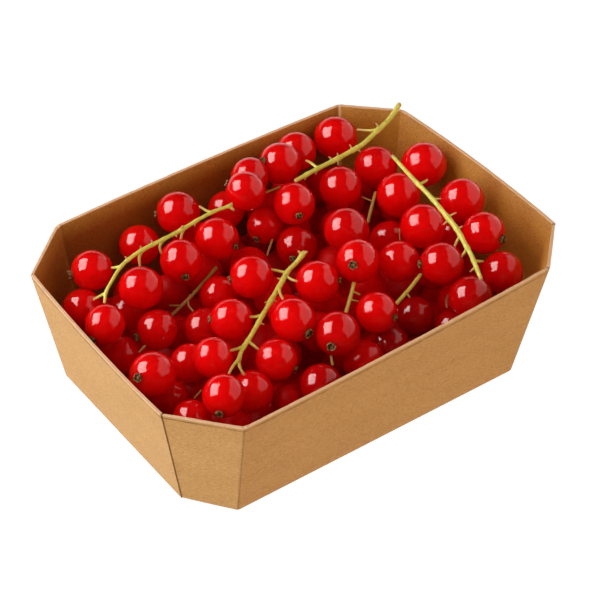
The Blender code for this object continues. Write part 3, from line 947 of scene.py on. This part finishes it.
# %% Build the core
CORE_COLUMNS_EACH = 22
CORE_RINGS = np.linspace(1.0, 0.03, 40)
CORE_LUMP = 9.6 * MM
LUMP_HEIGHT = 3.6 * MM
CORE_FOOT = CARD + 0.3 * MM
CORE_TONE = 0.7
core_corners = corners_at([CORE_FOOT, CORE_TOP - 2 * MM], [CARD + 0.5 * MM, CARD + 0.9 * MM])
core_wall = np.repeat(np.arange(8), CORE_COLUMNS_EACH)
core_share = np.tile(np.arange(CORE_COLUMNS_EACH) / CORE_COLUMNS_EACH, 8)
core_rings = (core_corners[:, core_wall] * (1 - core_share[:, None])
              + np.roll(core_corners, -1, axis=1)[:, core_wall] * core_share[:, None])
dome = core_rings[1] * CORE_RINGS[:, None, None]
lump = np.abs(np.cos(dome * math.pi / CORE_LUMP).prod(-1)) ** 0.5
dome_height = CORE_TOP - 2.0 * MM + LUMP_HEIGHT * lump - 2 * MM * (CORE_RINGS[:, None] == 1.0)
foot = np.column_stack((core_rings[0], np.full(len(core_wall), CORE_FOOT)))
dome_points = np.concatenate((dome, dome_height[..., None]), axis=-1).reshape(-1, 3)
core_points = np.concatenate(([[0, 0, CORE_FOOT]], foot, dome_points, [[0, 0, CORE_TOP]]))
core_mesh = new_mesh("currant_core", core_points, closed_faces(len(CORE_RINGS) + 1, len(core_wall)))
set_attribute(core_mesh, "tone_and_shade", np.full(len(core_points), CORE_TONE))
add_piece("currant_core", core_mesh, deep_skin)

# %% [markdown]
# ## Dried flower ends
#
# Each berry carries what is left of its flower: a short dark tuft with five shrivelled lobes
# round a hollow. Seen from its end it is a ring. The profile runs from inside the berry up the
# outside of the tuft, over its edge and down into the hollow.

# %% Make the tufts
tuft_finish, tree, shader = new_finish("dried_flower", 0.80, Specular_IOR_Level=0.10)
flecks = mottle(tree, object_place(tree), 2200.0, 3.0, 0.44, 0.56)
colour = mix_colour(tree, flecks, linear(30, 12, 3), linear(96, 58, 18))
lip_colour = mix_colour(tree, flecks, linear(84, 50, 18), linear(214, 158, 92))
colour = painted(tree, colour, "lip", lip_colour)
tree.links.new(colour, shader.inputs["Base Color"])

# radius, height above the skin, lobe depth and paleness, from the foot to the bottom of the hollow
TUFT_PROFILE = np.array((
    (0.80, -0.55, 0.0, 0.0), (0.98, 0.00, 0.1, 0.1), (0.94, 0.22, 0.2, 0.1), (1.04, 0.46, 0.5, 0.3),
    (0.92, 0.68, 0.8, 0.8), (0.72, 0.46, 0.7, 0.1), (0.48, 0.26, 0.4, 0.0), (0.24, 0.40, 0.2, 0.5)))
TUFT_LOBES = 5
TUFT_COLUMNS = 18
TUFT_FOOT = 0.965


def add_tufts(chosen):
    """Tufts at the flower end: radius times one plus lobe waves, turned a little more with height."""
    count = len(chosen)
    lon = np.arange(TUFT_COLUMNS) * 2 * math.pi / TUFT_COLUMNS
    random = np.random.default_rng(9)
    size = random.uniform(0.72, 1.12, (count, 1, 1)) * MM
    phase = random.uniform(0, 6.3, (count, 1, 1))
    tall = random.uniform(0.7, 1.25, (count, 1, 1))
    radius, height, lobe = (TUFT_PROFILE[:, k][None, :, None] for k in range(3))
    lobes = 1 + 0.20 * lobe * np.sin(TUFT_LOBES * lon + phase) + 0.22 * lobe * np.sin(3 * lon + 2 * phase)
    uneven = 1 + 0.30 * lobe * np.sin(2 * lon + 3 * phase) + 0.30 * lobe * np.sin(7 * lon + phase)
    away = -stem_way[chosen]
    first, second = frames_for(away)
    base = heap_middles[chosen] + away * (heap_radii[chosen] * TUFT_FOOT)[:, None]
    spread = size * radius * lobes
    risen = size * height * tall * np.where(height > 0.5, uneven, 1.0)
    lon_all = lon + 0.5 * height
    ring = ((spread * np.cos(lon_all))[..., None] * first[:, None, None]
            + (spread * np.sin(lon_all))[..., None] * second[:, None, None]
            + (risen * np.ones_like(spread))[..., None] * away[:, None, None])
    foot = (away * -0.5 * MM)[:, None]
    hollow = (away * 0.50 * MM)[:, None]
    points = base[:, None] + np.concatenate((foot, ring.reshape(count, -1, 3), hollow), axis=1)
    faces = copied_faces(closed_faces(len(TUFT_PROFILE), TUFT_COLUMNS), points.shape[1], count)
    mesh = new_mesh("flower_ends", points.reshape(-1, 3), faces)
    lips = np.concatenate(([0.0], np.repeat(TUFT_PROFILE[:, 3], TUFT_COLUMNS), [0.0]))
    lips[-1] = 0.9
    set_attribute(mesh, "lip", np.tile(lips, count))
    add_piece("flower_ends", mesh, tuft_finish)


add_tufts(numbers[listed])

# %% [markdown]
# ## Stalks
#
# Four green stalks lie on the heap. Each one carried a string of berries, each berry on a stem as
# thin as wire, and where a berry has come off a short spur is left. A stalk is a circle carried
# along a smooth route. It lies on the berries below it, so its depth is eased forwards until it
# clears them.

# %% Make the stalk finish
green, tree, shader = new_finish(
    "green_stalk", 0.50, Specular_IOR_Level=0.25, Subsurface_Weight=0.15, Subsurface_Scale=0.001,
    Subsurface_Radius=(1.0, 0.8, 0.3))
streaks = mottle(tree, object_place(tree), 900.0, 3.0, 0.32, 0.68)
colour = mix_colour(tree, streaks, linear(194, 176, 48), linear(228, 202, 84))
colour = painted(tree, colour, "tip", linear(200, 128, 72))
# Browner where a stem is withered, and painted shade where it lies low in the heap.
colour = painted(tree, colour, "dull", linear(142, 80, 26))
tree.links.new(colour, shader.inputs["Base Color"])
add_bump(tree, shader, streaks, 0.06 * MM)

# %% Routes and tubes
CAP_TURNS = np.linspace(0, math.pi / 2, 4)[1:]


def smooth_route(knots, steps):
    """A curve through the knots. Each span is a cubic with half the knots' differences as slopes."""
    knots = np.asarray(knots, float)
    ends = np.concatenate((2 * knots[:1] - knots[1:2], knots, 2 * knots[-1:] - knots[-2:-1]))
    s = (np.arange(steps) / steps)[None, :, None]
    a, b, c, d = (ends[k:len(ends) - 3 + k][:, None] for k in range(4))
    spans = b + 0.5 * s * (c - a + s * (2 * a - 5 * b + 4 * c - d + s * (3 * (b - c) + d - a)))
    return np.concatenate((spans.reshape(-1, knots.shape[1]), knots[-1:]))


def hit_depth(rays, reach, left_out=()):
    """Depth at which each ray first meets a berry that is swollen by the reach."""
    towards = heap_middles - EYE
    size = (rays**2).sum(-1)[:, None]
    middle = rays @ towards.T
    rest = (towards**2).sum(-1) - (heap_radii + reach) ** 2
    inside = middle**2 - size * rest
    depth = np.where(inside > 0, (middle - np.sqrt(np.maximum(inside, 0))) / size, np.inf)
    depth[:, list(left_out)] = np.inf
    return depth.min(axis=1)


def laid_on_heap(columns_rows, wanted, reach, slope=0.55, left_out=()):
    """Places on the heap: at most as deep as wanted, and in front of every berry by the reach.

    What one place needs eases away along the route at the slope, so the stalk rises and falls
    gently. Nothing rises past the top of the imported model.
    """
    ray = sight(columns_rows[:, 0], columns_rows[:, 1])
    limit = hit_depth(ray, reach, left_out)
    flat = np.linalg.norm(columns_rows[:, None] - columns_rows[None], axis=-1) * wanted.mean() / FOCAL_PIXELS
    eased = (limit[None] + slope * flat).min(axis=1)
    depth = np.minimum(wanted, eased)
    padded = np.concatenate((depth[:1], depth[:1], depth, depth[-1:], depth[-1:]))
    soft = sum(padded[k:k + len(depth)] for k in range(5)) / 5
    lowest = depth_at_height(ray, cad_box[1][2] - 1.0 * MM)
    return EYE + ray * np.maximum(np.minimum(soft, limit), lowest)[:, None]


def tube(route, radii, sides):
    """Points of a tube with round ends: rings across the route, then one pole at each end."""
    slope = unit(np.gradient(route, axis=0))
    across = unit(np.cross(slope, BACK + 0.01 * UP))
    over = np.cross(across, slope)
    lead = -np.sin(CAP_TURNS[::-1])[:, None] * radii[0] * slope[0]
    tail = np.sin(CAP_TURNS)[:, None] * radii[-1] * slope[-1]
    centre = np.concatenate((route[:1] + lead[1:], route, route[-1:] + tail[:-1]))
    shrink = np.cos(CAP_TURNS[:-1])
    radius = np.concatenate((radii[0] * shrink[::-1], radii, radii[-1] * shrink))
    first = np.concatenate((np.repeat(across[:1], 2, 0), across, np.repeat(across[-1:], 2, 0)))
    second = np.concatenate((np.repeat(over[:1], 2, 0), over, np.repeat(over[-1:], 2, 0)))
    turn = np.arange(sides) * 2 * math.pi / sides
    # across, slope and over are a right-handed set, so the ring turns backwards to face outwards
    ring = (np.cos(turn)[:, None] * first[:, None] - np.sin(turn)[:, None] * second[:, None])
    points = (centre[:, None] + radius[:, None, None] * ring).reshape(-1, 3)
    return np.concatenate((route[:1] + lead[:1], points, route[-1:] + tail[-1:])), len(centre)

# %% List the stalks
# Routes: column, row and height in mm of each knot, from the thick end to the tip.
STALK_ROUTES = {
    "stalk_left": (
        (231, 205.5, 31), (214, 211.5, 30), (197, 220.5, 29.5), (180, 230.7, 29), (163, 239.5, 28.5),
        (147, 247.5, 28), (133, 256, 28), (121, 266.5, 28.5), (113, 279, 29.5), (106, 292, 31.5),
        (104.7, 302, 33)),
    "stalk_back": (
        (399, 105, 35), (389, 119.5, 33.5), (376, 132, 32), (363, 144, 30.8), (348, 153, 30),
        (332, 161.5, 29.7), (315, 170, 30), (296, 180.5, 31)),
    "stalk_right": (
        (392.9, 156.4, 33), (405, 170, 33), (417, 182.9, 33), (431.4, 197.9, 32.5), (445, 214.3, 31.5),
        (456.4, 228.6, 29.5), (464.5, 243, 28.5), (471.4, 255.7, 28), (476.5, 268, 28.5),
        (480.7, 277.9, 30)),
    "stalk_front": (
        (304, 253, 27), (296, 263, 28), (288, 271.3, 29), (279.4, 286.3, 29.5), (270.6, 301.3, 29.5),
        (260, 320, 29.5), (250.6, 336.3, 29.5), (242, 350, 29.5), (238.8, 360, 30)),
}
# Radius in mm at the thick end, half way and at the tip.
STALK_RADII = {"stalk_left": (0.40, 0.47, 0.33), "stalk_back": (0.64, 0.58, 0.50),
               "stalk_right": (0.44, 0.60, 0.46), "stalk_front": (0.56, 0.54, 0.44)}

# %% [markdown]
# ### Stems and spurs
#
# Side stems and spurs are too thin and too many to be modelled by hand in space. Each one is
# listed by the places that it passes in the frame. Its depth comes from its stalk at one end and
# from its berry at the other.

# %% List the side stems and spurs
# Side stems of each stalk: the berry they carry (or none), and their columns and rows.
SIDE_STEMS = {
    "stalk_left": (
        (0, ((121, 266.5), (115, 267.5), (112, 267.7))), (1, ((106, 293), (100, 296), (94, 299.5))),
        (6, ((141.9, 251.5), (139.4, 257.5), (140, 266))), (10, ((164, 240), (160, 246), (161, 252.5))),
        (10, ((184, 229), (182, 234), (181, 239))), (None, ((213, 212.2), (207, 211), (200, 206.5))),
        (None, ((229, 206.5), (231.5, 203.5))), (None, ((229, 206.5), (233.5, 209.5)))),
    "stalk_back": (
        (17, ((377.9, 129.5), (370, 130.5), (357.9, 129.7))),
        (16, ((318, 168.5), (311, 163), (306.3, 160.6)))),
    "stalk_right": (
        (22, ((418.6, 184.5), (425, 181.5), (427, 180))),
        (26, ((460, 236), (456.9, 241.4), (455, 245.7))),
        (27, ((467, 247.9), (464.3, 252.9), (461.5, 256.4))), (28, ((473.6, 261), (482.9, 261.4)))),
    "stalk_front": (
        (34, ((287, 273), (280, 271.3), (271.5, 269.4))),
        (35, ((286, 275.5), (291.3, 279.4), (297.3, 281.3))),
        (37, ((279.4, 287.5), (280, 293), (282.9, 299))), (36, ((262, 315), (256, 316.8), (250, 316.9))),
        (39, ((248, 341), (253, 345), (258.5, 349.5))),
        (38, ((244, 346.5), (237.5, 348.8), (230.5, 350.8))),
        (40, ((238.8, 359), (233, 366.3), (229, 373.5))),
        (41, ((238.8, 359), (240, 367.5), (244, 374.5))), (None, ((302, 255), (298.8, 251.5))),
        (None, ((302, 256), (306.8, 251.9)))),
}
# Spurs left by lost berries on each stalk: the foot and the tip.
SPURS = {
    "stalk_left": (
        ((180, 230), (182.5, 226)), ((128, 260), (125.5, 257)), ((142, 250), (140.5, 246.5)),
        ((153, 244.5), (151.5, 240.5)), ((175, 233), (176.5, 236.5)), ((196, 221), (194.5, 225.5))),
    "stalk_back": (
        ((352.5, 150), (350, 145)), ((338.5, 158), (337.5, 153.5)), ((333, 160.5), (329, 157)),
        ((338, 158.5), (338, 164.5)), ((307, 174), (305, 179.5)), ((379, 128), (376, 123.5)),
        ((318, 168.5), (315.5, 174)), ((357, 148), (360, 151.5))),
    "stalk_right": (
        ((434, 199), (440.5, 198.6)), ((447, 217), (455.7, 212.9)), ((450, 219), (443.6, 224.3)),
        ((456, 229.5), (462, 226.5)), ((474.5, 268), (470.5, 271.4))),
    "stalk_front": (
        ((283, 280), (277.8, 278.4)), ((270, 302), (265.2, 302.5)), ((271, 300), (276, 301.3)),
        ((258, 322), (263.5, 324.4))),
}
# Stems that show between the berries: column, row and height in mm of each knot, radius in mm, and how
# much browner they are painted, part withering and part painted shade.
BURIED_STEMS = (
    (((354.4, 281, 27), (350.5, 297, 26), (346.3, 312, 25)), 0.48, 0.15),
    (((352, 300, 26), (358, 301.3, 25.5)), 0.22, 0.4),
    (((354, 292, 26.5), (359.5, 294.5, 26)), 0.22, 0.4),
    (((420.5, 275.0, 26), (409, 289.5, 25.5), (397, 303, 25)), 0.46, 0.1),
    (((406.5, 293, 25.5), (409.5, 297, 25)), 0.22, 0.3),
    (((331.2, 355, 24), (331.6, 360, 24), (332.6, 364.5, 24)), 0.32, 0.4),
    (((216, 268, 23), (203, 283, 23), (187.5, 300, 22), (172, 315, 21)), 0.42, 0.35),
    (((188, 299, 22), (189, 306, 22), (193, 311, 22)), 0.26, 0.35),
    (((170, 305.6, 22), (181, 305.6, 22)), 0.24, 0.4), (((201, 390.5, 24), (194.5, 398, 23)), 0.2, 0.5),
    (((145, 346, 24), (139.5, 352, 23)), 0.24, 0.7), (((266.3, 192.5, 27), (279.5, 187, 27)), 0.26, 0.35),
    (((272.2, 240, 24), (267.3, 255, 23)), 0.26, 0.5),
    (((448, 295, 22), (446.4, 301, 21.5), (446.9, 307.5, 21)), 0.2, 0.75),
    (((375.5, 193, 26), (371.5, 208, 25), (368, 222, 24)), 0.42, 0.5),
    (((362, 197, 25), (374, 202, 25)), 0.22, 0.6), (((399.3, 229, 24), (400, 241, 23)), 0.14, 0.3))
print(sum(map(len, SIDE_STEMS.values())), "side stems and", sum(map(len, SPURS.values())), "spurs")

# %% Lay the stalks
STEM_RADIUS = 0.30 * MM
SPUR_RADIUS = 0.26 * MM
STALK_ROOM = 0.5 * MM
KNUCKLE = 0.22
KNUCKLE_REACH = 2.6
STALK_SIDES = 10
STEM_SIDES = 7


def stalk_line(name):
    """A stalk's knots as a smooth line in space, laid on the heap, with its radius at each point.

    The radius swells by a bell-shaped knuckle where a stem or a spur leaves, its reach in pixels.
    """
    knots = smooth_route(STALK_ROUTES[name], 9)
    ray = sight(knots[:, 0], knots[:, 1])
    radii = np.interp(np.linspace(0, 1, len(knots)), (0, 0.5, 1), STALK_RADII[name]) * MM
    feet = np.array([places[0] for _, places in SIDE_STEMS[name]] + [foot for foot, _ in SPURS[name]])
    to_foot = np.linalg.norm(knots[:, None, :2] - feet[None], axis=-1).min(axis=1)
    line = laid_on_heap(knots[:, :2], depth_at_height(ray, knots[:, 2] * MM), STALK_ROOM)
    return line, radii * (1 + KNUCKLE * hump(to_foot, KNUCKLE_REACH))


stalk_lines = {name: stalk_line(name) for name in STALK_ROUTES}
print("stalks laid on the heap:", list(stalk_lines))


def on_stalk(name, place):
    """The stalk's own depth where it passes nearest to a place in the frame."""
    seen_line = in_frame(stalk_lines[name][0])
    return seen_line[np.argmin(np.hypot(*(seen_line[:, :2] - place).T)), 2]

# %% Add the stems and spurs
# Painted shade: below this height stems are painted browner and darker, fully so over the fade.
SHADE_BELOW = 27.0 * MM
SHADE_FADE = 9.0 * MM


def add_stalk_piece(name, tubes, nodes):
    """Joins tubes into one piece. A tube is its line, radii, sides, tip mask and how much browner it is
    painted, part withering and part painted shade.
    """
    points, quads, triangles, tips, browning, start = [], [], [], [], [], 0
    for line, radii, sides, tip, stem_browning in tubes:
        made, rings = tube(line, radii, sides)
        four, three = closed_faces(rings, sides)
        points.append(made)
        quads.append(four + start)
        triangles.append(three + start)
        mask = np.concatenate((np.full(2, tip[0]), tip, np.full(2, tip[-1])))
        tips.append(np.concatenate((tip[:1], np.repeat(mask, sides), tip[-1:])))
        # Painted shade by height, plus the stem's own browning.
        browning.append(np.clip((SHADE_BELOW - made[:, 2]) / SHADE_FADE + stem_browning, 0, 0.9))
        start += len(made)
    mesh = new_mesh(name, np.concatenate(points), [np.concatenate(quads), np.concatenate(triangles)])
    set_attribute(mesh, "tip", np.concatenate(tips))
    set_attribute(mesh, "dull", np.concatenate(browning))
    add_piece(name, mesh, green, nodes).visible_glossy = False


def heap_in_view(berry, place):
    """Depth of one berry's skin along the ray through a place, or of its middle if the ray misses."""
    ray = sight(*place)
    towards = heap_middles[berry] - EYE
    size, middle = ray @ ray, ray @ towards
    inside = middle**2 - size * (towards @ towards - heap_radii[berry] ** 2)
    return (middle - math.sqrt(max(inside, 0.0))) / size


def side_stem(name, berry, knots):
    """A stem from the stalk's depth to its berry's skin, or to that depth again where it has none."""
    line = smooth_route(knots, 6)
    share = np.linspace(0, 1, len(line))
    start = on_stalk(name, knots[0])
    own = () if berry is None else (berry,)
    end = start if berry is None else min(start + 3 * MM, heap_in_view(berry, knots[-1]))
    laid = laid_on_heap(line, start + (end - start) * share, STEM_RADIUS * 0.8, 1.2, own)
    return laid, STEM_RADIUS * (1.25 - 0.3 * share), STEM_SIDES, 0.9 * share**2, 0.0


def spur(name, foot, tip):
    line = smooth_route((foot, tip), 4)
    share = np.linspace(0, 1, len(line))
    depth = np.full(len(line), on_stalk(name, foot)) - 0.3 * MM * share
    line3 = EYE + sight(line[:, 0], line[:, 1]) * depth[:, None]
    return line3, SPUR_RADIUS * (1.2 - 0.5 * share), STEM_SIDES, 0.3 + 0.7 * share, 0.0

# %% Build the stalks
for stalk_name, (line, radii) in stalk_lines.items():
    share = np.linspace(0, 1, len(line))
    tips = 0.5 * (hump(share, 0.02) + hump(1 - share, 0.03))
    grown = [(line, radii, STALK_SIDES, tips, 0.0)]
    grown += [side_stem(stalk_name, *stem) for stem in SIDE_STEMS[stalk_name]]
    grown += [spur(stalk_name, *ends) for ends in SPURS[stalk_name]]
    add_stalk_piece(stalk_name + "_green", grown, [stalk_name])

buried = []
for knots, radius, stem_browning in BURIED_STEMS:
    line = smooth_route(knots, 6)
    ray = sight(line[:, 0], line[:, 1])
    places = EYE + ray * depth_at_height(ray, line[:, 2] * MM)[:, None]
    buried.append((places, np.full(len(line), radius * MM), STEM_SIDES, np.full(len(line), 0.15), stem_browning))
add_stalk_piece("stems_between", buried, [])
